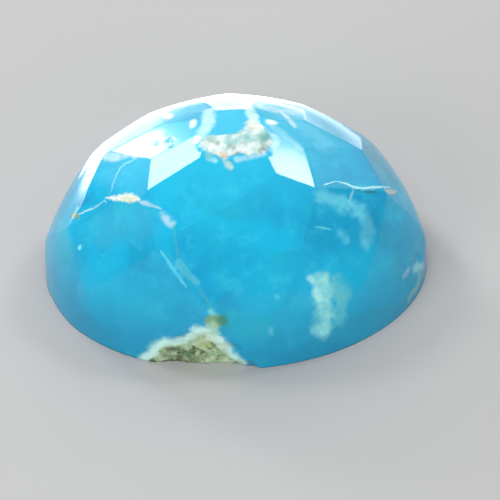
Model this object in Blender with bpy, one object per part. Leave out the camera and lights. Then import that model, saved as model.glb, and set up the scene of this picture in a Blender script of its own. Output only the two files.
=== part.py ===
"""A faceted oval turquoise: a high dome cut with flats all over, on a ground flat back."""

import math
import random

import bmesh
import bpy
from mathutils import Matrix, Vector, noise

# Driving dimensions, in metres. X runs along the oval, the front is -Y and the apex is +Z.
LENGTH = 0.010
WIDTH = 0.008
DOME_HEIGHT = 0.00492
GIRDLE_HEIGHT = 0.00008
BASE_CHAMFER = 0.00003

# The stone starts as a smooth dome, a little larger than the finished one, inside an upright oval wall.
PREFORM_SIZE = 1.03
PREFORM_SEGMENTS = 96
PREFORM_RINGS = 48
CUT_TOLERANCE = 1e-8

# Each flat is an angle in degrees round from the front towards +X, a reach that is 0 at the apex and 1 at
# the girdle, and a depth, the share of the dome's size that it is ground down to. A tier has eight flats,
# and the stone is cut by eye, so they aren't quite even.
TABLE = (180, 0.015, 0.993)
STAR_TIER = (
    (7, 0.340, 0.976),
    (54, 0.390, 0.982),
    (89, 0.435, 0.982),
    (135, 0.400, 0.980),
    (180, 0.375, 0.979),
    (218, 0.385, 0.978),
    (270, 0.400, 0.977),
    (300, 0.400, 0.982),
)
MAIN_TIER = (
    (22, 0.565, 0.980),
    (71, 0.535, 0.980),
    (116, 0.560, 0.981),
    (156, 0.550, 0.980),
    (204, 0.530, 0.982),
    (241, 0.505, 0.984),
    (286, 0.560, 0.979),
    (333, 0.495, 0.977),
)
LOWER_TIER = (
    (49, 0.775, 0.978),
    (100, 0.845, 0.982),
    (136, 0.755, 0.978),
    (180, 0.795, 0.981),
    (224, 0.795, 0.980),
    (261, 0.845, 0.981),
    (304, 0.805, 0.981),
    (355, 0.725, 0.980),
)
GIRDLE_TIER = (
    (14, 0.930, 0.983),
    (65, 0.950, 0.985),
    (108, 0.955, 0.985),
    (154, 0.940, 0.985),
    (200, 0.940, 0.985),
    (245, 0.940, 0.984),
    (286, 0.990, 0.984),
    (328, 0.945, 0.987),
)

# Low on the front the flats stop at natural skin: an upright face, hollow and lumpy towards its middle.
SKIN_ANGLE = -11
SKIN_LEAN = -5
SKIN_DISTANCE = 0.00390
SKIN_BLOCK = 0.0040
SKIN_CUTS = 36
SKIN_HALF_WIDTH = 0.0015
SKIN_HOLLOW = 0.00030
SKIN_SWELL = 0.5
SKIN_LUMPINESS = 0.7
SKIN_ROUGHNESS = 1.0
SKIN_LACUNARITY = 2.0
SKIN_OCTAVES = 3
SKIN_LUMP_SIZE = 0.00050

# Shallow pits where soft matrix has plucked out: angle, reach, and radius of the rough lens pressed in there.
MATRIX_PITS = (
    (-29, 0.170, 0.00034),
    (-10, 0.168, 0.00028),
    (2, 0.190, 0.00030),
    (-7, 0.270, 0.00034),
    (14, 0.245, 0.00040),
    (34, 0.185, 0.00026),
    (57, 0.204, 0.00030),
    (-31, 0.265, 0.00026),
)
RIM_CHIPS = (
    (64, 0.979, 0.00034),
    (73, 0.990, 0.00042),
    (-76, 0.834, 0.00028),
    (87, 0.842, 0.00032),
)
PIT_DEPTH = 0.985
PIT_FLATNESS = 0.45
PIT_SUNK = 0.55
PIT_UNEVENNESS = 0.16
PIT_SUBDIVISIONS = 2
PIT_SEED = 7

STONE_COLOUR = (0.030, 0.480, 0.700, 1.0)
STONE_ROUGHNESS = 0.22


def clear_objects():
    for obj in list(bpy.data.objects):
        bpy.data.objects.remove(obj, do_unlink=True)


def new_collection(name):
    collection = bpy.data.collections.new(name)
    bpy.context.scene.collection.children.link(collection)
    return collection


def new_object(name, bm, collection):
    mesh = bpy.data.meshes.new(name)
    bm.to_mesh(mesh)
    bm.free()
    obj = bpy.data.objects.new(name, mesh)
    collection.objects.link(obj)
    return obj


def from_front(angle):
    """The level direction at an angle in degrees round from the front."""
    turn = math.radians(angle)
    return Vector((math.sin(turn), -math.cos(turn), 0))


def on_unit_dome(angle, reach):
    return from_front(angle) * reach + Vector((0, 0, math.sqrt(1 - reach * reach)))


def on_dome(angle, reach, depth=1.0):
    """A point of the dome, whose equator is the top edge of the girdle."""
    unit = on_unit_dome(angle, reach) * depth
    return Vector((unit.x * LENGTH / 2, unit.y * WIDTH / 2, unit.z * DOME_HEIGHT + GIRDLE_HEIGHT))


def dome_normal(angle, reach):
    unit = on_unit_dome(angle, reach)
    return Vector((unit.x / (LENGTH / 2), unit.y / (WIDTH / 2), unit.z / DOME_HEIGHT)).normalized()


def grind(bm, point, normal):
    """Takes away all that lies beyond a plane and closes the cut with one flat face."""
    geometry = bm.verts[:] + bm.edges[:] + bm.faces[:]
    cut = bmesh.ops.bisect_plane(
        bm, geom=geometry, dist=CUT_TOLERANCE, plane_co=point, plane_no=normal, clear_outer=True
    )
    rim = [item for item in cut["geom_cut"] if isinstance(item, bmesh.types.BMEdge)]
    return bmesh.ops.edgeloop_fill(bm, edges=rim)["faces"]


def preform():
    """A smooth dome in an upright oval wall, on a short girdle, with its flat back at the origin."""
    bm = bmesh.new()
    bmesh.ops.create_uvsphere(bm, u_segments=PREFORM_SEGMENTS, v_segments=PREFORM_RINGS, radius=PREFORM_SIZE)
    for vert in bm.verts:
        vert.co.xy /= max(1.0, vert.co.xy.length)
    bmesh.ops.scale(bm, verts=bm.verts, vec=(LENGTH / 2, WIDTH / 2, DOME_HEIGHT))
    bmesh.ops.translate(bm, verts=bm.verts, vec=(0, 0, GIRDLE_HEIGHT))
    equator = Vector((0, 0, GIRDLE_HEIGHT))
    back = grind(bm, equator, Vector((0, 0, -1)))
    lowered = bmesh.ops.extrude_face_region(bm, geom=back)["geom"]
    bmesh.ops.delete(bm, geom=back, context="FACES_ONLY")
    low_verts = [item for item in lowered if isinstance(item, bmesh.types.BMVert)]
    bmesh.ops.translate(bm, verts=low_verts, vec=(0, 0, -GIRDLE_HEIGHT))
    low_edges = [item for item in lowered if isinstance(item, bmesh.types.BMEdge)]
    bmesh.ops.bevel(bm, geom=low_edges, offset=BASE_CHAMFER, segments=1, affect="EDGES")
    return bm


def faceted_stone(collection):
    bm = preform()
    for angle, reach, depth in (TABLE, *STAR_TIER, *MAIN_TIER, *LOWER_TIER, *GIRDLE_TIER):
        grind(bm, on_dome(angle, reach, depth), dome_normal(angle, reach))
    bmesh.ops.recalc_face_normals(bm, faces=bm.faces)
    return new_object("turquoise_stone", bm, collection)


def rough_skin_cutter(collection):
    """A block whose near face swells and is lumpy. Pressed on the front, it leaves the hollow natural skin."""
    bm = bmesh.new()
    bmesh.ops.create_cube(bm, size=SKIN_BLOCK)
    bmesh.ops.subdivide_edges(bm, edges=bm.edges, cuts=SKIN_CUTS, use_grid_fill=True)
    near = SKIN_BLOCK / 2 - CUT_TOLERANCE
    for vert in bm.verts:
        if vert.co.y > near:
            inwards = max(0.0, 1 - (vert.co.xz.length / SKIN_HALF_WIDTH) ** 2)
            lumps = noise.fractal(vert.co / SKIN_LUMP_SIZE, SKIN_ROUGHNESS, SKIN_LACUNARITY, SKIN_OCTAVES)
            vert.co.y += SKIN_HOLLOW * inwards * (SKIN_SWELL + SKIN_LUMPINESS * lumps)
    bmesh.ops.translate(bm, verts=bm.verts, vec=(0, -SKIN_BLOCK / 2, 0))
    cutter = new_object("rough_skin_cutter", bm, collection)
    place = Matrix.Translation(from_front(SKIN_ANGLE) * SKIN_DISTANCE)
    turn = Matrix.Rotation(math.radians(SKIN_ANGLE), 4, "Z")
    lean = Matrix.Rotation(math.radians(-SKIN_LEAN), 4, "X")
    cutter.matrix_world = place @ turn @ lean
    return cutter


def pit_cutter(name, angle, reach, radius, collection):
    """A rough lens, lying on the dome at one place and sunk partly into it."""
    bm = bmesh.new()
    bmesh.ops.create_icosphere(bm, subdivisions=PIT_SUBDIVISIONS, radius=radius)
    for vert in bm.verts:
        vert.co *= 1 + random.uniform(-PIT_UNEVENNESS, PIT_UNEVENNESS)
    bmesh.ops.scale(bm, verts=bm.verts, vec=(1, 1, PIT_FLATNESS))
    pit = new_object(name, bm, collection)
    out = dome_normal(angle, reach)
    lift = radius * PIT_FLATNESS * (1 - PIT_SUNK)
    turn = out.to_track_quat("Z", "Y").to_matrix().to_4x4()
    pit.matrix_world = Matrix.Translation(on_dome(angle, reach, PIT_DEPTH) + out * lift) @ turn
    return pit


def hide_cutter(cutter):
    cutter.hide_render = True
    cutter.display_type = "WIRE"


def stone_material():
    material = bpy.data.materials.new("polished_turquoise")
    material.use_nodes = True
    shader = material.node_tree.nodes["Principled BSDF"]
    shader.inputs["Base Color"].default_value = STONE_COLOUR
    shader.inputs["Roughness"].default_value = STONE_ROUGHNESS
    shader.inputs["Metallic"].default_value = 0.0
    return material


def main():
    clear_objects()
    random.seed(PIT_SEED)
    pieces = new_collection("faceted_turquoise")
    cutters = new_collection("cutters")
    stone = faceted_stone(pieces)
    stone.data.materials.append(stone_material())
    hide_cutter(rough_skin_cutter(cutters))
    for number, (angle, reach, radius) in enumerate((*MATRIX_PITS, *RIM_CHIPS), start=1):
        hide_cutter(pit_cutter(f"pit_cutter_{number}", angle, reach, radius, cutters))
    cut = stone.modifiers.new("natural_hollows", "BOOLEAN")
    cut.operation = "DIFFERENCE"
    cut.operand_type = "COLLECTION"
    cut.collection = cutters


main()
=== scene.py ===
import math

import bpy
import numpy as np
from mathutils import Matrix, Vector


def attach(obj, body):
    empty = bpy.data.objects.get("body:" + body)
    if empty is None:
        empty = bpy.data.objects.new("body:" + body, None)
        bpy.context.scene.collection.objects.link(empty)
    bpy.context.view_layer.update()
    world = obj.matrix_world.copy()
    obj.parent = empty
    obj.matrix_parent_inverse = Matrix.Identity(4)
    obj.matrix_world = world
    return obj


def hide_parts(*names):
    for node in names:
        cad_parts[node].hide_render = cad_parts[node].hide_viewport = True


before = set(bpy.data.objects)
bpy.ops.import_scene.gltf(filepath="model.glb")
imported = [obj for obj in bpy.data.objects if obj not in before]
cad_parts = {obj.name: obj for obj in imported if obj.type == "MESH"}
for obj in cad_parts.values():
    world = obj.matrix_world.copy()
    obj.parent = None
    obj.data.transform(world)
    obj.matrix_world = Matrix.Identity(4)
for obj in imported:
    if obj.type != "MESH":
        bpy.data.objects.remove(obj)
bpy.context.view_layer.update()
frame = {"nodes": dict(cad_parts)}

mm = 0.001
print("frame loaded:", ", ".join(frame["nodes"]))


# little helpers that the stone's shape and its colours share

def tint(red, green, blue):
    # a screen colour, 0 to 255, as the linear colour that shaders want
    screen = np.array([red, green, blue]) / 255.0
    linear = np.where(screen <= 0.04045, screen / 12.92, ((screen + 0.055) / 1.055) ** 2.4)
    return (*linear.tolist(), 1.0)


def smoothNoise(points, size, seed, repeat=32):
    # value noise from -1 to 1: random numbers on a cubic lattice of spacing size, blended with smooth
    # cubic weights; the lattice starts again after repeat cells
    lattice = np.random.RandomState(seed).uniform(-1, 1, (repeat, repeat, repeat))
    place = points / size
    cell = np.floor(place).astype(int)
    part = place - cell
    part = part * part * (3 - 2 * part)
    total = np.zeros(points.shape[:-1])
    for corner in np.ndindex(2, 2, 2):
        weight = np.prod(np.where(np.array(corner) == 1, part, 1 - part), axis=-1)
        at = (cell + corner) % repeat
        total += weight * lattice[at[..., 0], at[..., 1], at[..., 2]]
    return total


def layeredNoise(points, size, seed, layers=3, strongest=1.6):
    # smooth noise plus copies of half the size and half the strength, scaled to about -1 to 1
    total = np.zeros(points.shape[:-1])
    for layer in range(layers):
        total += smoothNoise(points, size / 2 ** layer, seed + layer) / 2 ** layer
    return total / strongest


def strayed(points, strays, seed=0):
    # points moved by noise, so that what is drawn straight comes out natural; each stray is the noise's
    # size, how far it moves a point along each axis, and its seed
    for size, amount, own in strays:
        moves = [smoothNoise(points + 9 * k, size, seed + own + k) for k in range(3)]
        points = points + amount * np.stack(moves, axis=-1)
    return points


def smoothStep(low, high, value):
    # 0 below low, 1 above high, an S curve between
    part = np.clip((value - low) / (high - low), 0, 1)
    return part * part * (3 - 2 * part)


# The stone's shape is one distance from an inner point for each direction, on a grid of angle round
# the oval by angle down from the crown.
stoneShape = {
    "cadNode": "turquoise_stone",
    "halfLength": 5.0,       # all lengths here are millimetres
    "halfWidth": 4.0,
    "domeHeight": 4.92,
    "girdle": 0.08,
    "middle": 1.25,          # height of the inner point
    "preform": 1.06,         # the dome that the flats are cut in, over the one above
    "crownedTop": 0.14,      # 0 is dead flat facets, 1 is a plain dome
    "crownedRim": 0.66,
    "crownedBack": 0.62,     # the back's flats are at least this round
    "crownedHeights": (1.90, 4.15),   # the rim's roundness is below these, the top's above
    "backFade": (0.6, 2.4),  # how far back the back's roundness starts, and where it is full
    "crownedSize": 0.992,    # the dome that the flats are crowned towards
    "smallestFlat": 0.14,    # mm2
    "around": 560,           # grid cells
    "down": 150,
    "under": 7,
    "skinAngle": -11.0,      # degrees: where the natural skin is round the oval, and how it leans
    "skinLean": -5.0,
    "skinDistance": 3.90,
    "skinHalfWidth": 1.5,
    "skinHollow": 0.26,      # how far it swells inwards, as a mean share and a share for the lumps
    "skinMean": 0.55,
    "skinLumps": 0.65,
    "skinGrain": 0.05,       # lumps that reach out to its border
    "skinLumpSize": 0.42,
    "skinNoiseShift": 40,
    "skinSeed": 11,
}

# places where soft matrix has plucked out or the rim has chipped: centre, half sizes, depth and the size
# of the pits in it
hollows = {
    "crownPatch": ((0.05, -0.72, 4.86), (0.95, 0.52, 0.6), 0.045, 0.30),
    "crownLeft": ((-1.92, 0.00, 4.51), (0.13, 0.09, 0.3), 0.020, 0.12),
    "crownLeftSide": ((-1.56, -0.24, 4.66), (0.09, 0.20, 0.3), 0.020, 0.12),
    "crownLine": ((0.28, -0.93, 4.74), (0.42, 0.14, 0.4), 0.050, 0.25),
    "leftTip": ((-4.14, -0.78, 2.74), (0.24, 0.16, 0.30), 0.014, 0.25),
    "rimUpper": ((4.78, -1.15, 0.86), (0.36, 0.30, 0.34), 0.060, 0.30),
    "rimInner": ((4.36, -1.70, 1.08), (0.26, 0.24, 0.26), 0.040, 0.22),
    "veinTip": ((3.45, -1.08, 3.47), (0.50, 0.12, 0.25), 0.030, 0.25),
}

# how the hollows are broken up, and the slight waves that polishing leaves everywhere
surfaceNoise = {
    "waveDepth": 0.004,
    "waveSize": 1.3,
    "waveShift": 20,
    "waveSeed": 31,
    "borderStrays": [(0.35, 0.10, 50)],
    "borderFade": (0.70, 1.15),   # shares of a hollow's half sizes
    "pitFade": (-0.25, 0.55),     # noise values between which its floor sinks
    "pitShift": 60,
    "pitSeed": 71,
}


def flatPlanes(node, smallest, turns=80, steps=25, upward=0.03):
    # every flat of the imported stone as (normal, offset): triangles are in one plane if their normals times
    # turns and their offsets times steps round to the same numbers; planes with a large area are kept, and
    # upright and downward ones are left to the wall and the back
    mesh = node.data
    mesh.calc_loop_triangles()
    corner = np.empty(len(mesh.vertices) * 3)
    mesh.vertices.foreach_get("co", corner)
    corner = corner.reshape(-1, 3) / mm
    index = np.empty(len(mesh.loop_triangles) * 3, dtype=int)
    mesh.loop_triangles.foreach_get("vertices", index)
    a, b, c = corner[index.reshape(-1, 3)].transpose(1, 0, 2)
    cross = np.cross(b - a, c - a)
    size = np.linalg.norm(cross, axis=1)
    normal = cross / np.maximum(size, 1e-12)[:, None]
    offset = np.sum(normal * a, axis=1)
    key = np.round(np.column_stack([normal * turns, offset * steps]))
    groups, which = np.unique(key, axis=0, return_inverse=True)
    which = which.ravel()
    area = np.bincount(which, size / 2, len(groups))
    normals = np.stack([np.bincount(which, normal[:, k] * size, len(groups)) for k in range(3)], axis=1)
    normals /= np.linalg.norm(normals, axis=1)[:, None]
    offsets = np.bincount(which, offset * size, len(groups)) / np.bincount(which, size, len(groups))
    keep = (area > smallest) & (normals[:, 2] > upward)
    return normals[keep], offsets[keep]


def reachOfPlane(facing, room, least):
    # distance along a direction to a plane: room, how far off the plane is, over facing, the direction's
    # part along the plane's normal; endless where facing is below least
    return np.where(facing > least, room / np.maximum(facing, least), np.inf)


def reachOfFlats(direction, middle, normals, offsets):
    # distance along each direction to the nearest flat, and which flat it is
    reach = reachOfPlane(direction @ normals.T, offsets - normals @ middle, 1e-6)
    return reach.min(axis=-1), reach.argmin(axis=-1)


def reachOfDome(direction, middle, s, size):
    # distance to an ellipsoid of the dome's half sizes times size, centred on the girdle's top
    half = np.array([s["halfLength"], s["halfWidth"], s["domeHeight"]]) * size
    start = (middle - np.array([0, 0, s["girdle"]])) / half
    step = direction / half
    a = np.sum(step * step, axis=-1)
    b = np.sum(step * start, axis=-1)
    return (-b + np.sqrt(b * b - a * (start @ start - 1))) / a


def reachOfSkin(direction, middle, s, least=0.05, far=20, rounds=3):
    # distance to the natural skin: a leaning plane that swells inwards near its middle, with lumps; the
    # swelling depends on the place, so it is worked out in rounds
    turn = math.radians(s["skinAngle"])
    lean = math.radians(s["skinLean"])
    front = np.array([math.sin(turn), -math.cos(turn), 0.0])
    normal = front * math.cos(lean) + np.array([0, 0, math.sin(lean)])
    centre = front * s["skinDistance"]
    facing = direction @ normal
    room = (centre - middle) @ normal
    reach = reachOfPlane(facing, room, least)
    for number in range(rounds):
        place = middle + np.minimum(reach, far)[..., None] * direction
        away = np.linalg.norm(place - centre, axis=-1)
        swell = np.clip(1 - (away / s["skinHalfWidth"]) ** 2, 0, 1)
        lumps = layeredNoise(place + s["skinNoiseShift"], s["skinLumpSize"], s["skinSeed"])
        depth = s["skinHollow"] * swell * (s["skinMean"] + s["skinLumps"] * lumps)
        depth = depth + s["skinGrain"] * np.sqrt(swell) * lumps
        reach = reachOfPlane(facing, room - depth, least)
    return reach


def stoneReach(direction, middle, s, normals, offsets):
    # the nearest of flats, preform, oval wall and skin; flats are crowned towards a dome, least at the top
    flats, which = reachOfFlats(direction, middle, normals, offsets)
    flats = np.minimum(flats, reachOfDome(direction, middle, s, s["preform"]))
    dome = reachOfDome(direction, middle, s, s["crownedSize"])
    level = np.hypot(direction[..., 0] / s["halfLength"], direction[..., 1] / s["halfWidth"])
    wall = 1 / np.maximum(level, 1e-9)
    height = middle[2] + flats * direction[..., 2]
    share = smoothStep(*s["crownedHeights"], height)
    crowned = s["crownedRim"] + (s["crownedTop"] - s["crownedRim"]) * share
    behind = smoothStep(*s["backFade"], flats * direction[..., 1])
    crowned = crowned + (np.maximum(crowned, s["crownedBack"]) - crowned) * behind
    reach = np.minimum(flats + crowned * (dome - flats), wall)
    return np.minimum(reach, reachOfSkin(direction, middle, s)), which


def slideToEdges(direction, which, middle, normals, offsets):
    # a grid point with a facet edge within half a cell is slid along the grid onto that edge, first
    # round the oval, then down the profile, so that edges are straight lines and not stairs
    room = offsets - normals @ middle
    moved = np.zeros(direction.shape[:2], dtype=bool)
    result = direction.copy()
    for axis in (1, 0):
        ahead = np.roll(direction, -1, axis=axis)
        other = np.roll(which, -1, axis=axis)
        seam = room[which][..., None] * normals[other] - room[other][..., None] * normals[which]
        step = ahead - direction
        slope = np.sum(seam * step, axis=-1)
        part = -np.sum(seam * direction, axis=-1) / np.where(np.abs(slope) < 1e-12, 1e-12, slope)
        crosses = (which != other) & (part > 0) & (part < 1)
        if axis == 0:
            crosses[-1] = False
            crosses[0] = False
        forward = crosses & (part < 0.5)
        backward = np.roll(crosses & (part >= 0.5), 1, axis=axis)
        if axis == 0:
            backward[:2] = False
        slideOn = part[..., None] * step
        slideBack = np.roll((part - 1)[..., None] * step, 1, axis=axis)
        for take, slide in ((forward, slideOn), (backward, slideBack)):
            take = take & ~moved
            result[take] = direction[take] + slide[take]
            moved |= take
    return result / np.linalg.norm(result, axis=-1)[..., None]


def pluckedOut(points, direction, n):
    # each hollow sinks the surface by its depth, broken up into pits by noise and fading out at its border
    sink = n["waveDepth"] * layeredNoise(points + n["waveShift"], n["waveSize"], n["waveSeed"])
    ragged = strayed(points, n["borderStrays"])
    for centre, half, depth, pitSize in hollows.values():
        away = np.linalg.norm((ragged - np.array(centre)) / np.array(half), axis=-1)
        inside = 1 - smoothStep(*n["borderFade"], away)
        pits = smoothStep(*n["pitFade"], layeredNoise(points + n["pitShift"], pitSize, n["pitSeed"]))
        sink = sink + depth * inside * pits
    return points - sink[..., None] * direction


def stoneGrid(s, normals, offsets):
    # rows run from the crown down to the back's edge and on under the stone to the back's middle,
    # columns run once round; returns the points of the grid and the row of the back's edge
    middle = np.array([0.0, 0.0, s["middle"]])
    turn = np.linspace(0, 2 * math.pi, s["around"], endpoint=False)
    level = np.stack([s["halfLength"] * np.sin(turn), -s["halfWidth"] * np.cos(turn), 0 * turn], axis=-1)
    edge = np.linalg.norm(level, axis=-1)
    level /= edge[:, None]
    for number in range(3):  # the skin cuts the back's edge short, so its direction is found in turns
        toEdge = level * edge[:, None] - middle
        toEdge /= np.linalg.norm(toEdge, axis=-1)[:, None]
        reach = stoneReach(toEdge, middle, s, normals, offsets)[0]
        edge = np.minimum(edge, np.hypot(*(toEdge * reach[:, None]).T[:2]))
    polar = np.arctan2(edge, -s["middle"])
    down = np.linspace(0, 1, s["down"] + 1)[:, None] * polar
    under = polar + np.linspace(0, 1, s["under"] + 1)[1:, None] * (math.pi - polar)
    angle = np.concatenate([down, under])
    direction = np.sin(angle)[..., None] * level + np.cos(angle)[..., None] * np.array([0, 0, 1.0])
    which = reachOfFlats(direction, middle, normals, offsets)[1]
    above = slice(0, s["down"])
    below = slice(s["down"], None)
    direction[above] = slideToEdges(direction[above], which[above], middle, normals, offsets)
    reach = stoneReach(direction, middle, s, normals, offsets)[0]
    points = middle + reach[..., None] * direction
    points[above] = pluckedOut(points[above], direction[above], surfaceNoise)
    points[below, :, 2] = 0.0
    inner = np.linspace(1, 0, s["under"] + 1)[:, None, None]
    points[below, :, :2] = points[s["down"], :, :2] * inner
    return points, s["down"]


def gridMesh(name, points, flatFrom, middleHeight):
    # a closed mesh of the grid: rings joined by quads, each cut along its outer diagonal so that edges
    # stay sharp, with one point at each pole
    rows, columns = points.shape[:2]
    rings = points[1:-1].reshape(-1, 3)
    verts = np.concatenate([points[0].mean(axis=0)[None], rings, points[-1].mean(axis=0)[None]])
    last = len(verts) - 1
    at = 1 + np.arange((rows - 2) * columns).reshape(rows - 2, columns)
    a = at[:-1]
    b = np.roll(at, -1, axis=1)[:-1]
    c = np.roll(at, -1, axis=1)[1:]
    d = at[1:]
    centre = np.array([0, 0, middleHeight])
    acOut = np.linalg.norm((verts[a] + verts[c]) / 2 - centre, axis=-1)
    bdOut = np.linalg.norm((verts[b] + verts[d]) / 2 - centre, axis=-1)
    useAc = (acOut >= bdOut)[..., None]
    first = np.where(useAc, np.stack([a, d, c], axis=-1), np.stack([a, d, b], axis=-1))
    second = np.where(useAc, np.stack([a, c, b], axis=-1), np.stack([d, c, b], axis=-1))
    top = np.stack([0 * at[0], at[0], np.roll(at[0], -1)], axis=-1)
    bottom = np.stack([0 * at[0] + last, np.roll(at[-1], -1), at[-1]], axis=-1)
    faces = np.concatenate([top, first.reshape(-1, 3), second.reshape(-1, 3), bottom])
    under = np.repeat(np.arange(1, rows - 2), columns) >= flatFrom
    pole = np.ones(columns, dtype=bool)
    flat = np.concatenate([~pole, under, under, pole])
    mesh = bpy.data.meshes.new(name)
    mesh.vertices.add(len(verts))
    mesh.vertices.foreach_set("co", (verts * mm).ravel())
    mesh.loops.add(faces.size)
    mesh.loops.foreach_set("vertex_index", faces.ravel().astype(np.int32))
    mesh.polygons.add(len(faces))
    mesh.polygons.foreach_set("loop_start", np.arange(0, faces.size, 3, dtype=np.int32))
    mesh.update(calc_edges=True)
    mesh.polygons.foreach_set("use_smooth", ~flat)
    mesh.validate()
    mesh.update()
    return mesh


flats = flatPlanes(frame["nodes"][stoneShape["cadNode"]], stoneShape["smallestFlat"])
print("flats found in the packed stone:", len(flats[1]))
points, backRow = stoneGrid(stoneShape, *flats)
stoneMesh = gridMesh("polished_turquoise", points, backRow, stoneShape["middle"])
stone = bpy.data.objects.new("polished_turquoise", stoneMesh)
bpy.context.scene.collection.objects.link(stone)
print("stone made:", len(stoneMesh.polygons), "triangles")


def veinOrPaintedLine(width, colour, strength, gaps, taper, *points):
    return {"width": width, "colour": colour, "strength": strength, "gaps": gaps, "taper": taper,
            "points": points}


def mark(width, colour, strength, patchy, *points):
    return {"width": width, "colour": colour, "strength": strength, "patchy": patchy, "points": points}


# What runs through the stone, and among it a painted glint on a facet edge and a painted shadow under a vein:
# half the vein's width, its colour, how far that covers the blue, how much of its length fades away, how far
# it narrows at its ends, and points that are dropped onto the surface.
veinsAndPaintedLines = {
    "leftVein": veinOrPaintedLine(0.055, (186, 232, 238), 0.9, 0.35, 0.5,
        (-3.30, -1.01, 3.54), (-3.38, -1.04, 3.48), (-3.57, -1.02, 3.29), (-3.75, -0.94, 3.14),
        (-3.97, -0.84, 2.88), (-4.20, -0.68, 2.68)),
    "leftVeinDark": veinOrPaintedLine(0.045, (34, 132, 162), 0.55, 0.4, 0.8,
        (-4.12, -1.06, 2.76), (-3.80, -1.12, 3.00), (-3.45, -1.14, 3.32)),
    "creamLens": veinOrPaintedLine(0.115, (226, 240, 226), 1.0, 0.0, 0.75,
        (-3.32, -0.98, 3.54), (-2.81, -1.29, 3.80), (-2.42, -1.59, 3.95)),
    "arch": veinOrPaintedLine(0.042, (196, 222, 234), 0.7, 0.25, 0.4,
        (-2.53, -1.56, 3.92), (-2.27, -1.74, 3.95), (-2.06, -1.85, 3.93), (-1.88, -1.98, 3.90)),
    "archLower": veinOrPaintedLine(0.048, (84, 172, 168), 0.38, 0.5, 0.3,
        (-1.62, -2.40, 3.70), (-1.56, -2.78, 3.35), (-1.50, -3.03, 3.04), (-1.33, -3.23, 2.79),
        (-0.94, -3.60, 2.35), (-0.69, -3.86, 2.01)),
    "thinCurve": veinOrPaintedLine(0.045, (146, 224, 238), 0.75, 0.15, 0.4,
        (-2.36, -0.28, 4.30), (-2.55, -0.30, 4.20), (-2.76, -0.27, 4.08), (-2.91, -0.32, 3.96),
        (-3.02, -0.47, 3.86), (-3.13, -0.69, 3.74), (-3.16, -0.92, 3.66)),
    # painted highlight: a pale glint along a facet edge, drawn as a line
    "edgePaintedGlint": veinOrPaintedLine(0.06, (100, 216, 240), 0.65, 0.15, 0.5,
        (-2.00, -2.84, 3.22), (-1.89, -2.97, 3.08), (-1.69, -3.16, 2.85), (-1.33, -3.49, 2.42)),
    "rightVein": veinOrPaintedLine(0.042, (178, 240, 244), 0.95, 0.05, 0.5,
        (2.38, -1.42, 4.02), (2.52, -1.30, 3.96), (2.66, -1.22, 3.91), (2.89, -1.14, 3.79),
        (3.13, -1.14, 3.64), (3.46, -1.00, 3.46), (3.84, -0.75, 3.27), (4.20, -0.20, 2.74)),
    # painted shadow: a dark line along the underside of the right vein
    "rightVeinPaintedShadow": veinOrPaintedLine(0.032, (44, 110, 124), 0.8, 0.1, 0.6,
        (3.16, -1.20, 3.60), (3.46, -1.10, 3.43), (3.80, -0.93, 3.23)),
    "rightTan": veinOrPaintedLine(0.075, (200, 214, 196), 0.75, 0.1, 0.8,
        (3.97, -0.74, 3.12), (4.15, -0.47, 2.82), (4.28, -0.14, 2.56)),
    "rightBranch": veinOrPaintedLine(0.045, (150, 220, 236), 0.6, 0.05, 0.6,
        (3.15, -1.17, 3.64), (3.06, -1.35, 3.56), (2.98, -1.54, 3.46)),
    "rightDash": veinOrPaintedLine(0.038, (104, 222, 226), 0.6, 0.2, 0.8,
        (2.06, -2.39, 3.45), (2.32, -2.29, 3.31), (2.52, -2.24, 3.18)),
    "backLeft": veinOrPaintedLine(0.040, (176, 226, 226), 0.85, 0.5, 0.4,
        (-4.10, 1.50, 1.80), (-3.20, 2.40, 1.90), (-2.30, 2.90, 2.10), (-1.50, 3.30, 1.60),
        (-1.20, 3.60, 0.90)),
    "backLeftUpper": veinOrPaintedLine(0.028, (120, 176, 160), 0.7, 0.5, 0.5,
        (-2.90, 2.60, 2.00), (-2.20, 2.50, 2.90), (-1.20, 2.20, 3.60), (-0.40, 2.00, 3.90)),
    "backLens": veinOrPaintedLine(0.100, (226, 232, 204), 1.0, 0.0, 0.9,
        (-2.55, 2.75, 1.95), (-2.15, 2.95, 2.05), (-1.85, 3.15, 1.85)),
    "backRight": veinOrPaintedLine(0.036, (182, 232, 234), 0.85, 0.4, 0.4,
        (4.00, 1.60, 2.00), (3.30, 2.30, 1.90), (2.60, 2.90, 1.40), (2.40, 3.30, 0.60)),
    "backRightUpper": veinOrPaintedLine(0.028, (140, 220, 232), 0.7, 0.4, 0.5,
        (3.30, 2.30, 1.90), (2.60, 2.20, 2.80), (1.90, 1.90, 3.50), (1.75, 1.30, 4.00)),
}
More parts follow.
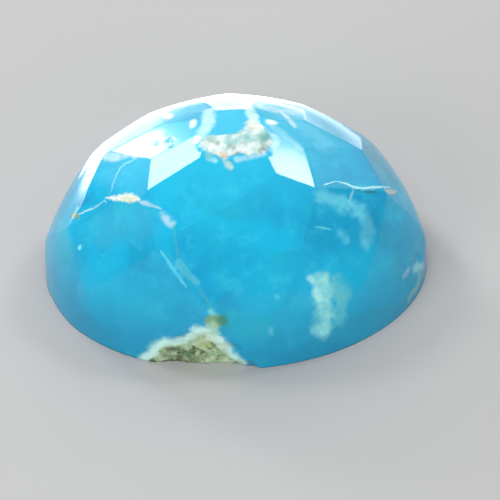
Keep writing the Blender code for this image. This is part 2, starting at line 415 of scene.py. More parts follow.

# Pale and dark clouds in the blue, under the chalk, and among them painted shade, a painted sheen and painted
# highlights: half width, colour, strength, patchy, which is how far noise breaks them up, and points.
clouds = {
    "rightCloud": mark(0.24, (120, 226, 246), 0.55, 0.7,
        (2.30, -1.67, 3.94), (2.84, -1.66, 3.46), (3.36, -1.58, 3.08), (3.57, -1.82, 2.65),
        (3.48, -2.06, 2.49)),
    "rightCloudLow": mark(0.13, (104, 216, 240), 0.5, 0.8, (2.76, -2.19, 3.02), (2.93, -2.22, 2.83)),
    # painted shade: darker blue low on the right side of the stone
    "rightShade": mark(0.50, (10, 136, 178), 0.45, 0.6,
        (3.70, -1.75, 2.60), (4.11, -1.51, 2.07), (4.45, -1.14, 1.72)),
    # painted shade: a darker band along the right outline
    "bandShade": mark(0.34, (0, 146, 170), 0.5, 0.4,
        (3.58, 0.56, 3.43), (3.88, 0.53, 3.02), (4.17, 0.28, 2.66)),
    "rightSpot": mark(0.09, (90, 190, 222), 0.7, 0.2, (4.16, -1.22, 2.44), (4.18, -1.18, 2.38)),
    "mintBar": mark(0.15, (142, 224, 226), 0.65, 0.7, (2.02, -3.18, 2.34), (2.34, -3.10, 2.28)),
    "mintSide": mark(0.24, (104, 200, 206), 0.6, 0.7,
        (2.62, -3.07, 2.02), (2.70, -3.20, 1.56), (2.62, -3.36, 1.00)),
    "mintStem": mark(0.27, (146, 228, 226), 0.75, 0.7,
        (2.26, -3.17, 2.16), (2.27, -3.32, 1.70), (2.24, -3.46, 1.20), (2.20, -3.57, 0.80)),
    "mintEdge": mark(0.1, (166, 238, 240), 0.65, 0.6,
        (1.84, -3.20, 2.38), (2.06, -3.26, 2.06), (2.14, -3.34, 1.74)),
    "tipCloud": mark(0.12, (170, 216, 232), 0.8, 0.9,
        (-1.86, -2.03, 3.87), (-1.74, -2.20, 3.80), (-1.64, -2.36, 3.72)),
    "lensShade": mark(0.14, (10, 136, 190), 0.5, 0.4, (-4.00, -0.72, 3.10), (-3.75, -0.66, 3.40)),
    # painted reflection: a pale sheen over the left front
    "leftPaintedSheen": mark(0.60, (98, 206, 228), 0.2, 0.15,
        (-3.40, -1.58, 3.01), (-2.97, -1.69, 3.36), (-2.45, -2.05, 3.56)),
    # painted shade: darker blue over the low front left
    "frontShade": mark(0.50, (4, 148, 192), 0.35, 0.5,
        (-2.60, -2.90, 2.50), (-1.90, -3.35, 2.25), (-1.50, -3.60, 1.90)),
    # painted highlight: a second pale stroke beside the glint on the facet edge
    "edgePaintedGlow": mark(0.12, (96, 204, 230), 0.5, 0.8,
        (-1.48, -3.08, 2.98), (-1.32, -3.22, 2.76), (-1.10, -3.40, 2.50)),
    "frontGreen": mark(0.40, (20, 176, 188), 0.35, 0.6, (-0.20, -3.80, 1.60), (0.50, -3.95, 1.20)),
    "skinFlare": mark(0.11, (120, 218, 226), 0.75, 0.5, (-0.70, -3.74, 1.88), (-0.62, -3.77, 1.76)),
    "crownWideLeft": mark(0.36, (132, 218, 240), 0.45, 1.0,
        (-2.20, 0.95, 4.22), (-1.60, 1.20, 4.40), (-0.80, 1.15, 4.62)),
    "crownRimLeft": mark(0.16, (230, 240, 236), 0.8, 0.7, (-1.73, 1.30, 4.33), (-1.62, 0.98, 4.50)),
    "crownLeftSide": mark(0.28, (196, 236, 244), 0.6, 0.9,
        (-2.30, -0.05, 4.34), (-2.00, 0.10, 4.46), (-1.80, 0.20, 4.56)),
    "underLeft": mark(0.13, (222, 240, 240), 0.55, 0.6,
        (-3.40, 0.50, 3.62), (-3.11, 0.19, 3.93), (-2.70, -0.01, 4.16), (-2.42, -0.20, 4.30)),
    "crownBandLeft": mark(0.17, (186, 236, 250), 0.9, 0.45,
        (-0.42, 0.80, 4.86), (-0.55, 0.20, 4.96), (-0.77, -0.40, 4.96)),
    "crownBandRight": mark(0.15, (206, 244, 248), 0.9, 0.55,
        (0.55, 0.90, 4.84), (0.57, 0.35, 4.96), (0.63, -0.07, 4.97), (0.73, -0.42, 4.95)),
    # painted highlight: a pale band along the top edge of the right kite facet
    "kitePaintedFringe": mark(0.13, (176, 230, 242), 0.65, 0.6,
        (0.84, -0.16, 4.96), (1.03, -0.30, 4.88), (1.22, -0.48, 4.78), (1.04, -0.80, 4.73)),
    "kiteTop": mark(0.12, (150, 224, 244), 0.5, 0.8,
        (0.94, 0.02, 4.94), (1.20, -0.12, 4.86), (1.47, -0.27, 4.76), (1.72, -0.50, 4.62)),
    "crownRightPale": mark(0.36, (96, 206, 236), 0.5, 0.8, (1.90, 0.30, 4.52), (2.40, -0.05, 4.28)),
    "crownStreak": mark(0.1, (206, 240, 248), 0.75, 0.5,
        (1.40, 0.88, 4.58), (1.56, 0.46, 4.69), (1.68, 0.22, 4.65)),
    "crownTopRight": mark(0.2, (224, 246, 248), 0.45, 1.0,
        (0.86, 0.99, 4.71), (1.28, 1.06, 4.56), (1.69, 0.98, 4.46)),
    "leftDot": mark(0.125, (228, 246, 250), 0.95, 0.0, (-0.96, 0.20, 4.92), (-0.92, 0.26, 4.92)),
    "rightDot": mark(0.14, (240, 250, 250), 0.95, 0.0, (1.02, 0.12, 4.94), (1.10, 0.14, 4.93)),
    "patchFringeLeft": mark(0.09, (170, 230, 240), 0.7, 0.7, (-0.66, -1.02, 4.75), (-0.45, -1.04, 4.72)),
    "patchFringeRight": mark(0.1, (170, 222, 246), 0.75, 0.5,
        (0.16, -1.02, 4.73), (0.49, -1.01, 4.72), (0.81, -0.95, 4.72)),
    "rimPale": mark(0.13, (168, 204, 226), 0.5, 1.0, (4.36, -1.72, 1.06), (4.50, -1.52, 0.98)),
    "rimBright": mark(0.13, (160, 228, 226), 0.6, 0.9,
        (4.70, -1.26, 0.86), (4.76, -1.17, 0.83), (4.90, -0.75, 0.54)),
    "rimLine": mark(0.11, (150, 200, 180), 0.45, 0.8,
        (4.84, -1.00, 0.60), (4.74, -1.28, 0.37), (4.62, -1.53, 0.28), (4.46, -1.80, 0.22)),
    "starLeft": mark(0.055, (130, 234, 252), 1.0, 0.0, (-4.06, -1.52, 2.33), (-4.04, -1.52, 2.28)),
    "starMiddle": mark(0.06, (80, 210, 236), 0.7, 0.2, (1.00, -3.49, 2.08), (1.10, -3.49, 2.06)),
    "starLow": mark(0.07, (96, 192, 222), 0.6, 0.3, (0.82, -3.85, 1.18), (0.82, -3.86, 1.04)),
    "backCloud": mark(0.40, (96, 208, 232), 0.5, 1.0,
        (-0.60, 3.10, 2.50), (0.40, 3.00, 2.70), (1.10, 2.60, 3.10)),
    "backMint": mark(0.26, (140, 224, 222), 0.7, 0.7, (2.00, 3.30, 1.40), (1.60, 3.50, 0.80)),
}

# small marks on top of everything else, with one painted shadow among them, in the same form
spotsAndPaintedShadow = {
    "greySpeck": mark(0.07, (150, 176, 166), 0.8, 0.4, (-0.50, -0.60, 4.93), (-0.33, -0.66, 4.88)),
    "greyGap": mark(0.065, (112, 182, 194), 0.75, 0.5, (-0.12, -0.70, 4.86), (-0.08, -0.78, 4.85)),
    "brownSpeck": mark(0.065, (158, 164, 148), 0.85, 0.5, (-0.02, -0.74, 4.85), (0.14, -0.77, 4.85)),
    "leftGreen": mark(0.085, (128, 200, 204), 0.7, 0.6, (-0.66, -0.92, 4.80), (-0.40, -0.94, 4.80)),
    "greenSpot": mark(0.12, (96, 172, 170), 0.9, 0.4, (0.80, -0.50, 4.90), (0.93, -0.38, 4.90)),
    "tanSpot": mark(0.095, (222, 200, 176), 0.9, 0.4, (-0.27, -0.97, 4.77), (-0.08, -0.99, 4.74)),
    "tanTail": mark(0.105, (204, 222, 208), 0.6, 0.8, (-0.14, -1.07, 4.71), (-0.02, -1.27, 4.63)),
    "brownLine": mark(0.045, (160, 160, 132), 0.9, 0.4,
        (0.05, -0.92, 4.75), (0.37, -0.90, 4.78), (0.62, -0.83, 4.79), (0.82, -0.77, 4.80)),
    "creamArm": mark(0.120, (228, 226, 208), 0.6, 0.7, (0.50, 0.10, 4.96), (0.60, -0.25, 4.96)),
    "sideSpeck": mark(0.045, (166, 196, 188), 0.85, 0.3, (-2.01, 0.02, 4.47), (-1.84, -0.05, 4.55)),
    "sideBlue": mark(0.055, (140, 188, 192), 0.85, 0.5, (-1.62, -0.10, 4.63), (-1.50, -0.40, 4.69)),
    "rimCream": mark(0.06, (150, 186, 182), 0.7, 0.6, (-1.78, 1.02, 4.43), (-1.64, 0.84, 4.55)),
    "lensTan": mark(0.08, (208, 210, 180), 0.85, 0.3, (-2.82, -1.28, 3.80), (-2.50, -1.53, 3.93)),
    "oliveTip": mark(0.105, (128, 160, 128), 0.85, 0.5, (-4.22, -0.62, 2.67), (-4.06, -0.82, 2.82)),
    "tanEdge": mark(0.06, (206, 180, 138), 0.4, 0.4, (4.16, -0.42, 2.80), (4.24, -0.26, 2.68)),
    "tanRim": mark(0.06, (190, 176, 160), 0.55, 0.4, (-3.91, -0.10, 3.11), (-3.80, -0.24, 3.30)),
    "tipOlive": mark(0.17, (122, 160, 104), 0.95, 0.7, (-0.74, -3.82, 1.62), (-0.60, -3.83, 1.55)),
    "tipTeal": mark(0.15, (50, 134, 116), 0.85, 0.5, (-0.46, -3.82, 1.60), (-0.38, -3.83, 1.56)),
    "tipNeck": mark(0.15, (160, 206, 180), 0.8, 0.8, (-0.74, -3.87, 1.42), (-0.68, -3.91, 1.25)),
    "skinDarkLeft": mark(0.1, (92, 108, 82), 0.9, 0.7, (-1.92, -3.61, 0.43), (-1.64, -3.64, 0.46)),
    "skinDarkRight": mark(0.09, (80, 118, 80), 0.9, 0.6, (-1.50, -3.65, 0.40), (-1.36, -3.62, 0.28)),
    # painted shadow: darker along the bottom edge of the skin
    "skinLowPaintedShadow": mark(0.13, (104, 120, 86), 0.6, 0.9,
        (-2.02, -3.57, 0.24), (-1.70, -3.66, 0.18), (-1.30, -3.72, 0.14), (-0.95, -3.78, 0.14)),
    "skinPale": mark(0.15, (206, 238, 216), 0.9, 0.4,
        (-0.74, -3.83, 1.02), (-0.53, -3.92, 0.85), (-0.36, -3.86, 0.60)),
    "skinYellow": mark(0.14, (170, 196, 122), 0.6, 0.5, (-0.95, -3.71, 0.63), (-0.69, -3.77, 0.63)),
}

# the chalky patches are where any of these ellipsoids reaches: centre, half sizes
chalkPatches = [
    ((-0.25, -0.66, 4.92), (0.56, 0.30, 0.5)),
    ((0.45, -0.60, 4.90), (0.62, 0.36, 0.5)),
    ((0.62, -0.22, 4.96), (0.24, 0.34, 0.5)),
    ((-2.35, 3.00, 1.50), (0.30, 0.30, 0.35)),
]

# the natural skin is what lies below this roof on the front, as points across and up
skinRoof = [
    (-2.60, 0.02), (-2.36, 0.41), (-2.20, 0.62), (-1.95, 0.80), (-1.70, 0.80), (-1.49, 0.91), (-1.29, 1.13),
    (-1.14, 1.28), (-0.94, 1.36), (-0.77, 1.35), (-0.61, 1.26), (-0.46, 1.05), (-0.33, 0.75), (-0.16, 0.48),
    (0.08, 0.22), (0.14, 0.02)]

# how all of these are broken up: a noise is its strength, size and seed, a stray is the noise's size, how far
# it moves a point and its seed, and a fade is where it starts and ends
drawing = {
    "longest": 0.3,                     # step along a path
    "veinStrays": [(0.9, 0.05, 200), (0.30, 0.022, 210)],
    "veinUneven": (0.35, 0.4, 300),     # of its width
    "veinGaps": (1.0, 0.35, 400),
    "veinGapFade": (-0.2, 0.4),         # noise values
    "veinEndFade": (0.0, 0.02),         # shares of its length past its ends
    "veinFade": (2.5, 4.0),             # widths from its middle, as the next two are
    "sideFade": (0.3, 0.9),
    "betweenFade": (0.3, 1.2),
    "markStrays": [(0.6, 0.09, 0), (0.22, 0.045, 10)],
    "coarsePatches": (0.6, 0.30, 20),
    "finePatches": (0.4, 0.11, 30),
    "markFade": (0.35, 1.35),           # widths from its middle
    "markFray": 0.8,                    # how far patches move that border
    "markThin": 0.45,                   # how much they thin the mark
    "markThinFade": (0.0, 0.5),
    "cloudSeed": 500,
    "spotSeed": 560,
    "chalkStrays": [(0.4, 0.10, 600), (0.16, 0.04, 610)],
    "skinStrays": [(0.35, 0.07, 700)],
    "skinFront": -2.4,                  # the roof counts only in front of this
}


def onStone(path, s, longest):
    # a path with extra points, none further apart than longest, each moved in or out to the stone's surface
    path = np.array(path, dtype=float)
    lengths = np.linalg.norm(np.diff(path, axis=0), axis=1)
    travelled = np.concatenate([[0.0], np.cumsum(lengths)])
    wanted = np.linspace(0, travelled[-1], max(2, int(math.ceil(travelled[-1] / longest)) + 1))
    wanted = np.unique(np.concatenate([wanted, travelled]))
    dense = np.stack([np.interp(wanted, travelled, path[:, k]) for k in range(3)], axis=-1)
    middle = np.array([0.0, 0.0, s["middle"]])
    direction = dense - middle
    direction /= np.linalg.norm(direction, axis=1)[:, None]
    reach = stoneReach(direction, middle, s, *flats)[0]
    return middle + reach[:, None] * direction


def fromPath(points, path, outward=None):
    # distance to a bent line and how far along it: each point is dropped onto every straight stretch, kept
    # between its ends, and the nearest counts; along runs from 0 at the start to 1 at the end, and a little
    # further for what lies past them; with outward, the distance is negative on the line's left
    best = np.full(len(points), np.inf)
    along = np.zeros(len(points))
    sign = np.ones(len(points))
    lengths = np.linalg.norm(np.diff(path, axis=0), axis=1)
    before = np.concatenate([[0.0], np.cumsum(lengths)])
    for number, (start, end) in enumerate(zip(path, path[1:])):
        step = end - start
        share = (points - start) @ step / (step @ step)
        kept = np.clip(share, 0, 1)
        away = points - start - kept[:, None] * step
        distance = np.linalg.norm(away, axis=1)
        nearer = distance < best
        best[nearer] = distance[nearer]
        first = share if number == 0 else np.maximum(share, 0)
        last = first if number == len(lengths) - 1 else np.minimum(first, 1)
        along[nearer] = ((before[number] + last * lengths[number]) / before[-1])[nearer]
        if outward is not None:
            side = np.sum(np.cross(step, outward) * away, axis=1)
            sign[nearer] = np.where(side[nearer] < 0, -1.0, 1.0)
    return best * sign, along


def scaledNoise(points, noise, seed=0, kind=smoothNoise):
    strength, size, own = noise
    return strength * kind(points, size, own + seed)


def veinAndPaintedLineLayer(points, outward, s, d, farthest=9.0):
    # for each point the vein or painted line that matters most: its signed distance over its width, its
    # colour and strength
    place = strayed(points, d["veinStrays"])
    closest = np.full(len(points), farthest)
    second = np.full(len(points), farthest)
    colour = np.zeros((len(points), 4))
    for number, v in enumerate(veinsAndPaintedLines.values()):
        distance, along = fromPath(place, onStone(v["points"], s, d["longest"]), outward)
        narrowing = 1 - v["taper"] * np.clip(2 * along - 1, -1, 1) ** 2
        share = distance / (v["width"] * narrowing * (1 + scaledNoise(points, d["veinUneven"], number)))
        ends = 1 - smoothStep(*d["veinEndFade"], np.maximum(-along, along - 1))
        breaks = 1 - v["gaps"] * smoothStep(*d["veinGapFade"], scaledNoise(points, d["veinGaps"], number))
        mine = np.abs(share) < np.abs(closest)
        second = np.where(mine, np.abs(closest), np.minimum(second, np.abs(share)))
        closest[mine] = share[mine]
        colour[mine, :3] = tint(*v["colour"])[:3]
        colour[mine, 3] = (v["strength"] * ends * breaks)[mine]
    closeness = np.abs(closest)
    colour[:, 3] *= 1 - smoothStep(*d["veinFade"], closeness)
    # midway between two veins the side jumps from one to the other, so nothing is drawn there
    between = 1 - smoothStep(*d["betweenFade"], second - closeness)
    colour[:, 3] *= 1 - smoothStep(*d["sideFade"], closeness) * between
    return np.clip(closest, -farthest, farthest), colour


def markLayer(marks, points, s, d, seed):
    # bands and spots laid one over another, as one colour and how much it covers
    place = strayed(points, d["markStrays"], seed)
    patches = scaledNoise(points, d["coarsePatches"], seed, layeredNoise)
    patches = patches + scaledNoise(points, d["finePatches"], seed)
    thinning = d["markThin"] * smoothStep(*d["markThinFade"], patches)
    colour = np.zeros((len(points), 4))
    for m in marks.values():
        away = fromPath(place, onStone(m["points"], s, d["longest"]))[0] / m["width"]
        cover = 1 - smoothStep(*d["markFade"], away + d["markFray"] * m["patchy"] * patches)
        cover *= m["strength"] * (1 - m["patchy"] * thinning)
        total = cover + colour[:, 3] * (1 - cover)
        share = (cover / np.maximum(total, 1e-6))[:, None]
        colour[:, :3] = colour[:, :3] * (1 - share) + np.array(tint(*m["colour"])[:3]) * share
        colour[:, 3] = total
    return colour


def skinDepth(points, d):
    # how far a point lies inside the skin's roof, in millimetres across and up: the distance to the roof's
    # line, negative outside it and far outside on the back of the stone
    place = strayed(points, d["skinStrays"])
    front = np.stack([place[:, 0], 0 * place[:, 0], place[:, 2]], axis=-1)
    roof = np.array([(across, 0.0, up) for across, up in skinRoof])
    distance = fromPath(front, roof)[0]
    below = place[:, 2] < np.interp(place[:, 0], roof[:, 0], roof[:, 2], left=-9, right=-9)
    depth = np.where(below, distance, -distance)
    return np.where(points[:, 1] < d["skinFront"], np.clip(depth, -1, 1), -1.0)


def chalkDepth(points, d):
    # how far a point lies inside the chalky patches: 1 in a patch's middle and 0 at its border
    place = strayed(points, d["chalkStrays"])
    centres, halves = np.array(chalkPatches).transpose(1, 0, 2)[:, :, None]
    return np.max(1 - np.linalg.norm((place - centres) / halves, axis=-1), axis=0)


def meshVectors(mesh, key):
    values = np.empty(len(mesh.vertices) * 3)
    mesh.vertices.foreach_get(key, values)
    return values.reshape(-1, 3)


def storeLayer(mesh, name, values):
    # an attribute on the mesh's points: a value for each, or a colour with how much it covers
    kind, key = ("FLOAT", "value") if values.ndim == 1 else ("FLOAT_COLOR", "color")
    layer = mesh.attributes.new(name, kind, "POINT")
    layer.data.foreach_set(key, np.ascontiguousarray(values, dtype=np.float32).ravel())


def drawLayers(mesh, s, d):
    # the layers are kept on the stone's points, for its material to read
    place = meshVectors(mesh, "co") / mm
    side, colour = veinAndPaintedLineLayer(place, meshVectors(mesh, "normal"), s, d)
    storeLayer(mesh, "vein_and_painted_line_side", side)
    storeLayer(mesh, "vein_and_painted_line_colour", colour)
    storeLayer(mesh, "cloud_and_painted_light_colour", markLayer(clouds, place, s, d, d["cloudSeed"]))
    storeLayer(mesh, "spot_and_painted_shadow_colour", markLayer(spotsAndPaintedShadow, place, s, d, d["spotSeed"]))
    storeLayer(mesh, "skin_depth", skinDepth(place, d))
    storeLayer(mesh, "chalk", chalkDepth(place, d))


drawLayers(stoneMesh, stoneShape, drawing)
print("stone drawn on:", len(veinsAndPaintedLines), "veins,", len(clouds), "clouds,", len(spotsAndPaintedShadow), "spotsAndPaintedShadow")


# small node helpers for the material

def put(tree, kind, feed=(), **settings):
    # a node with its settings made and its sockets fed, each by a link or by a plain value
    node = tree.nodes.new(kind)
    for key, value in settings.items():
        setattr(node, key, value)
    for key, value in (feed.items() if isinstance(feed, dict) else enumerate(feed)):
        if isinstance(value, bpy.types.NodeSocket):
            tree.links.new(value, node.inputs[key])
        else:
            node.inputs[key].default_value = value
    return node


def maths(tree, operation, *values, clamp=False):
    return put(tree, "ShaderNodeMath", values, operation=operation, use_clamp=clamp).outputs[0]


def ramped(tree, value, low, high, top=1.0):
    # 0 at low and top at high, in an S curve; low may be the larger one
    feed = (value, low, high, 0.0, top)
    return put(tree, "ShaderNodeMapRange", feed, interpolation_type="SMOOTHSTEP").outputs[0]


def mixed(tree, factor, first, second):
    return put(tree, "ShaderNodeMix", {0: factor, 6: first, 7: second}, data_type="RGBA").outputs[2]


def noiseOf(tree, place, n):
    # noise about 0.5; its scale is in features for each millimetre
    if "shift" in n:
        place = put(tree, "ShaderNodeVectorMath", (place, n["shift"]), operation="ADD").outputs[0]
    feed = {"Vector": place, "Scale": n["scale"], "Detail": n["detail"], "Roughness": n["rough"],
            "Distortion": n.get("warp", 0.0)}
    return put(tree, "ShaderNodeTexNoise", feed).outputs[0]


def blotches(tree, place, n):
    # a mask from noise: 0 before its fade, and its strength after it
    return ramped(tree, noiseOf(tree, place, n), *n["fade"], n.get("strength", 1.0))


def stored(tree, name):
    return put(tree, "ShaderNodeAttribute", attribute_name=name, attribute_type="GEOMETRY").outputs


def newGroup(name, takes, gives):
    # an empty shader group with its named sockets, and its two end nodes
    group = bpy.data.node_groups.new(name, "ShaderNodeTree")
    for way, sockets in (("INPUT", takes), ("OUTPUT", gives)):
        for label, kind in sockets.items():
            group.interface.new_socket(label, in_out=way, socket_type="NodeSocket" + kind)
    return group, group.nodes.new("NodeGroupInput").outputs, group.nodes.new("NodeGroupOutput").inputs


def give(group, ends, **results):
    for label, result in results.items():
        group.links.new(result, ends[label])


def use(tree, group, c, feed, **tints):
    # a group with its sockets fed from feed, and its colour sockets with the named colours of c
    feed = {**feed, **{label: tint(*c[name]) for label, name in tints.items()}}
    return put(tree, "ShaderNodeGroup", feed, node_tree=group).outputs


def noise(scale, detail, rough, fade=(0.0, 1.0), **more):
    return {"scale": scale, "detail": detail, "rough": rough, "fade": fade, **more}


# the noises in the stone's colours: scale, detail, roughness, and the values between which a mask fades in
noises = {
    "clouds": noise(0.42, 4.0, 0.5, (0.36, 0.64), warp=0.6),
    "mottle": noise(1.9, 4.0, 0.6, (0.48, 0.72), strength=0.5),
    "greens": noise(0.8, 3.0, 0.5, (0.55, 0.75), strength=0.45, shift=(5.0, 1.0, 9.0)),
    "specks": noise(9.0, 2.0, 0.5, (0.62, 0.8), strength=0.25),
    "chalkGrains": noise(3.4, 3.0, 0.6, (0.42, 0.72)),
    "chalkGreens": noise(2.2, 2.0, 0.5, (0.42, 0.72), shift=(1.3, 8.1, 3.4)),
    "chalkTans": noise(1.6, 2.0, 0.5, (0.48, 0.74), shift=(7.3, 2.1, 4.4)),
    "skinFray": noise(4.0, 4.0, 0.6),
    "skinGrains": noise(5.5, 4.0, 0.65, (0.36, 0.66)),
    "skinDarks": noise(2.6, 4.0, 0.65, (0.48, 0.60), shift=(3.0, 7.0, 1.0)),
    "fray": noise(7.0, 3.0, 0.6),
}


def layeredGroup(name, n, first, *layers):
    # a colour with others laid over it, each where its own noise is strong
    labels = dict.fromkeys([first] + [label for label, key in layers], "Color")
    group, take, ends = newGroup(name, {"Place": "Vector", **labels}, {"Color": "Color"})
    colour = take[first]
    for label, key in layers:
        colour = mixed(group, blotches(group, take["Place"], n[key]), colour, take[label])
    give(group, ends, Color=colour)
    return group


def skinGroup(n, c):
    # natural skin low on the front, from how deep a place lies inside its outline: a pale border, and a
    # grainy olive, tan and dark inside
    group, take, ends = newGroup(
        "natural_skin",
        {"Place": "Vector", "Depth": "Float", "Border": "Float", "Olive": "Color", "Tan": "Color",
         "Dark": "Color"},
        {"Color": "Color", "Edge": "Float", "Inside": "Float", "Grain": "Float"})
    place = take["Place"]
    start = maths(group, "SUBTRACT", take["Depth"], c["skinFray"] / 2)
    depth = maths(group, "MULTIPLY_ADD", noiseOf(group, place, n["skinFray"]), c["skinFray"], start)
    grain = noiseOf(group, place, n["skinGrains"])
    colour = mixed(group, ramped(group, grain, *n["skinGrains"]["fade"]), take["Olive"], take["Tan"])
    colour = mixed(group, blotches(group, place, n["skinDarks"]), colour, take["Dark"])
    inner = maths(group, "SUBTRACT", depth, take["Border"])
    give(group, ends, Color=colour, Grain=grain, Edge=ramped(group, depth, *c["skinEdgeFade"]),
         Inside=ramped(group, inner, *c["skinInsideFade"]))
    return group


stoneColours = {
    "deep": (0, 158, 204),
    "body": (0, 180, 222),
    "pale": (50, 198, 230),
    "green": (10, 178, 196),
    "chalk": (228, 242, 236),
    "chalkGrey": (160, 190, 190),
    "chalkTan": (220, 208, 190),
    "chalkGreen": (136, 196, 194),
    "skinOlive": (150, 188, 140),
    "skinDark": (84, 102, 70),
    "skinTan": (200, 216, 188),
    "skinEdge": (196, 242, 232),
    "skinBorder": 0.19,               # millimetres, as the fades of the skin are
    "skinFray": 0.30,
    "skinEdgeFade": (-0.15, 0.07),
    "skinInsideFade": (-0.07, 0.07),
    "low": (0, 142, 182),             # painted shade: the darker tone near the girdle
    "girdleShadeStrength": 0.6,
    "girdleShadeHeights": (2.4, 0.6),
    "crownStrength": 0.45,            # how far the crown turns pale
    "crownHeights": (3.3, 5.0),
    "cloudFray": 1.2,                 # how much fine noise thins clouds, spots and their painted light and shade, and what is always left
    "cloudLeast": 0.45,
    "chalkFray": 0.5,
    "chalkFade": (0.14, 0.40),
    "veinFray": 1.6,                  # in widths of the vein, as its fade is
    "veinFade": (1.5, 0.5),
    "polish": 0.13,
    "chalkRoughness": 0.42,
    "skinRoughness": 0.75,
    "bumpStrength": 0.6,
    "bumpDepth": 0.00005,             # metres
    "refraction": 1.56,
}


def turquoiseMaterial(c, n):
    material = bpy.data.materials.new("polished_turquoise")
    material.use_nodes = True
    tree = material.node_tree
    tree.nodes.clear()
    objectPlace = put(tree, "ShaderNodeTexCoord").outputs["Object"]
    place = put(tree, "ShaderNodeVectorMath", {0: objectPlace, "Scale": 1 / mm}, operation="SCALE").outputs[0]
    height = put(tree, "ShaderNodeSeparateXYZ", (place,)).outputs[2]

    # the blue: wide clouds, finer mottling, a greener tone here and there and pale specks; paler on the
    # crown, and painted shade darker near the girdle
    group = layeredGroup("turquoise_blue", n, "Deep", ("Body", "clouds"), ("Pale", "mottle"),
                         ("Green", "greens"), ("Pale", "specks"))
    blue = use(tree, group, c, {"Place": place}, Deep="deep", Body="body", Pale="pale", Green="green")
    crown = ramped(tree, height, *c["crownHeights"], c["crownStrength"])
    colour = mixed(tree, crown, blue["Color"], tint(*c["pale"]))
    # painted shade: the blue darkens towards the girdle
    low = ramped(tree, height, *c["girdleShadeHeights"], c["girdleShadeStrength"])
    colour = mixed(tree, low, colour, tint(*c["low"]))

    # clouds with their painted shade and highlights first, then chalk, each with a frayed border
    fray = noiseOf(tree, place, n["fray"])
    thin = maths(tree, "MULTIPLY_ADD", fray, c["cloudFray"], c["cloudLeast"])
    cloudAndPaintedLight = stored(tree, "cloud_and_painted_light_colour")
    colour = mixed(tree, maths(tree, "MULTIPLY", cloudAndPaintedLight["Alpha"], thin, clamp=True), colour, cloudAndPaintedLight["Color"])
    group = layeredGroup("chalky_matrix", n, "Pale", ("Grey", "chalkGrains"), ("Green", "chalkGreens"),
                         ("Tan", "chalkTans"))
    chalk = use(tree, group, c, {"Place": place}, Pale="chalk", Grey="chalkGrey", Green="chalkGreen",
                Tan="chalkTan")
    patch = maths(tree, "MULTIPLY_ADD", fray, c["chalkFray"], stored(tree, "chalk")["Fac"])
    patch = ramped(tree, patch, *c["chalkFade"])
    colour = mixed(tree, patch, colour, chalk["Color"])

    # a vein, or a painted glint or shadow line, has its full colour out to half its width, and a frayed
    # border
    side = maths(tree, "ABSOLUTE", stored(tree, "vein_and_painted_line_side")["Fac"])
    side = maths(tree, "SUBTRACT", side, c["veinFray"] / 2)
    side = maths(tree, "MULTIPLY_ADD", fray, c["veinFray"], side)
    line = stored(tree, "vein_and_painted_line_colour")
    cover = maths(tree, "MULTIPLY", ramped(tree, side, *c["veinFade"]), line["Alpha"])
    colour = mixed(tree, cover, colour, line["Color"])

    # the natural skin, and the spots, with a painted shadow among them, on top of everything
    feed = {"Place": place, "Depth": stored(tree, "skin_depth")["Fac"], "Border": c["skinBorder"]}
    skin = use(tree, skinGroup(n, c), c, feed, Olive="skinOlive", Tan="skinTan", Dark="skinDark")
    colour = mixed(tree, skin["Edge"], colour, tint(*c["skinEdge"]))
    colour = mixed(tree, skin["Inside"], colour, skin["Color"])
    # the spots hold a painted shadow along the skin's bottom edge
    spot = stored(tree, "spot_and_painted_shadow_colour")
    colour = mixed(tree, maths(tree, "MULTIPLY", spot["Alpha"], thin, clamp=True), colour, spot["Color"])

    roughness = maths(tree, "MULTIPLY_ADD", patch, c["chalkRoughness"] - c["polish"], c["polish"])
    roughness = maths(tree, "MAXIMUM", roughness, maths(tree, "MULTIPLY", skin["Inside"], c["skinRoughness"]))
    coarse = maths(tree, "MAXIMUM", patch, skin["Inside"])
    relief = maths(tree, "MULTIPLY", coarse, skin["Grain"])
    bump = put(tree, "ShaderNodeBump", {"Strength": c["bumpStrength"], "Distance": c["bumpDepth"],
                                        "Height": relief})
    shader = put(tree, "ShaderNodeBsdfPrincipled", {"Base Color": colour, "Roughness": roughness,
                                                    "IOR": c["refraction"], "Normal": bump.outputs[0]})
    put(tree, "ShaderNodeOutputMaterial", {"Surface": shader.outputs[0]})
    return material


stoneMesh.materials.append(turquoiseMaterial(stoneColours, noises))
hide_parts(stoneShape["cadNode"])
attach(stone, "root")
print("stone coloured")


# floor, light and camera; all lengths are metres from here on
studio = {
    "floorHalf": 0.45,
    "floorColour": (180, 180, 180),
    "floorRoughness": 0.6,
    "fill": 0.33,
    "aim": (0, 0, 0.0035),   # where the soft boxes point
    "cardHeight": 0.0003,
}


def boxed(towards, distance, size, glow, turn=0.0, fills=False):
    return {"towards": towards, "distance": distance, "size": size, "glow": glow, "turn": turn,
            "fills": fills}


# soft boxes: direction from the stone, distance, sizes, radiance, and turn in degrees; those that only fill
# don't show in the polish
softBoxes = {
    "leftKite": boxed((-0.53, 0.37, 0.76), 0.09, (0.019, 0.019), 14.0),
    "rightKite": boxed((0.519, 0.254, 0.816), 0.09, (0.0097, 0.0120), 18.0, turn=-45.6),
    "rightFill": boxed((0.50, 0.30, 0.81), 0.09, (0.019, 0.019), 8.2, fills=True),
    "backLeft": boxed((-0.562, 0.722, 0.404), 0.09, (0.018, 0.018), 16.0, turn=-21.0),
    "backTop": boxed((0.05, 0.78, 0.60), 0.20, (0.50, 0.14), 0.9),
    "frontLeft": boxed((-0.60, -0.66, 0.45), 0.12, (0.06, 0.06), 4.4, fills=True),
    "frontRight": boxed((0.44, -0.84, 0.32), 0.12, (0.06, 0.06), 2.2, fills=True),
    "frontTop": boxed((-0.07, -0.50, 0.87), 0.15, (0.08, 0.08), 3.2, fills=True),
}
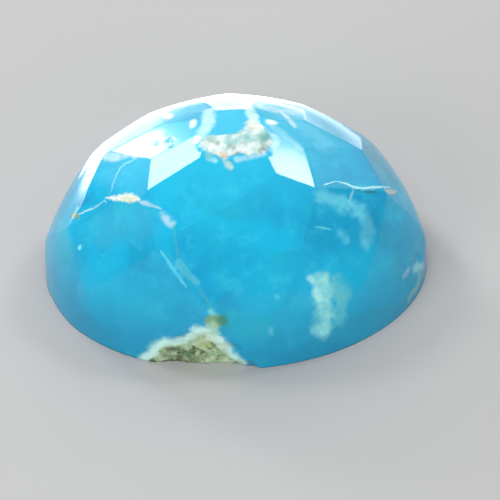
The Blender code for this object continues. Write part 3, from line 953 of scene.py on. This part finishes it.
# cards lying behind the stone, seen only as reflections at the dome's far edge: middle, sizes, radiance
cards = {
    "topCard": ((-0.001, 0.0205), (0.010, 0.030), 4.0),
    "leftRimCard": ((-0.0195, 0.0209), (0.027, 0.0282), 4.0),
    "leftCard": ((-0.0255, 0.054), (0.029, 0.038), 4.0),
    "rightRimCard": ((0.007, 0.0099), (0.006, 0.0072), 0.12),
    "rightCard": ((0.009, 0.0187), (0.010, 0.0104), 2.4),
    "farRightCard": ((0.0105, 0.052), (0.009, 0.036), 6.5),
}


def makeFloor(c):
    half = c["floorHalf"]
    corners = [(-half, -half, 0), (half, -half, 0), (half, half, 0), (-half, half, 0)]
    mesh = bpy.data.meshes.new("floor")
    mesh.from_pydata(corners, [], [(0, 1, 2, 3)])
    material = bpy.data.materials.new("pale_floor")
    material.use_nodes = True
    shader = material.node_tree.nodes["Principled BSDF"]
    shader.inputs["Base Color"].default_value = tint(*c["floorColour"])
    shader.inputs["Roughness"].default_value = c["floorRoughness"]
    mesh.materials.append(material)
    floor = bpy.data.objects.new("floor", mesh)
    bpy.context.scene.collection.objects.link(floor)


def makeSoftBox(name, centre, facing, size, glow, turn=0.0):
    # glow is radiance, so the power is glow times pi times the area
    light = bpy.data.lights.new(name, "AREA")
    light.shape = "RECTANGLE"
    light.size, light.size_y = size
    light.energy = glow * math.pi * light.size * light.size_y
    made = bpy.data.objects.new(name, light)
    aimed = Vector(facing).to_track_quat("-Z", "Y").to_matrix().to_4x4()
    turned = Matrix.Rotation(math.radians(turn), 4, "Z")
    made.matrix_world = Matrix.Translation(centre) @ aimed @ turned
    made.visible_camera = False
    bpy.context.scene.collection.objects.link(made)
    return made


def makeWorld(c):
    world = bpy.data.worlds.new("soft_fill")
    world.use_nodes = True
    background = world.node_tree.nodes["Background"]
    background.inputs["Color"].default_value = (1, 1, 1, 1)
    background.inputs["Strength"].default_value = c["fill"]
    bpy.context.scene.world = world


makeFloor(studio)
makeWorld(studio)
for name, box in softBoxes.items():
    towards = Vector(box["towards"]).normalized()
    centre = Vector(studio["aim"]) + towards * box["distance"]
    made = makeSoftBox(name, centre, -towards, box["size"], box["glow"], box["turn"])
    made.visible_glossy = not box["fills"]
for name, (middle, size, glow) in cards.items():
    made = makeSoftBox(name, Vector((*middle, studio["cardHeight"])), (0, 0, 1), size, glow)
    made.visible_diffuse = False

view = {
    "elevation": 41.0,       # degrees
    "roll": 2.7,
    "distance": 0.6,
    "frame": 0.01312,        # across the frame at the stone
    "aim": (0, 0, 0.00008),
    "beside": (0.000354, 0.000441),   # how far the frame's middle is right of and above that
    "clip": (0.01, 5),
}


def makeCamera(v):
    lift = math.radians(v["elevation"])
    lean = math.radians(v["roll"])
    back = Vector((0, -math.cos(lift), math.sin(lift)))
    level = Vector((1, 0, 0))
    up = Vector((0, math.sin(lift), math.cos(lift)))
    right = level * math.cos(lean) - up * math.sin(lean)
    upright = level * math.sin(lean) + up * math.cos(lean)
    data = bpy.data.cameras.new("camera")
    data.lens = data.sensor_width * v["distance"] / v["frame"]
    data.clip_start, data.clip_end = v["clip"]
    camera = bpy.data.objects.new("camera", data)
    spot = Vector(v["aim"]) + right * v["beside"][0] + upright * v["beside"][1] + back * v["distance"]
    camera.matrix_world = Matrix.Translation(spot) @ Matrix((right, upright, back)).transposed().to_4x4()
    bpy.context.scene.collection.objects.link(camera)
    bpy.context.scene.camera = camera


makeCamera(view)
bpy.context.scene.view_settings.view_transform = "Standard"
print("floor, lights and camera made")
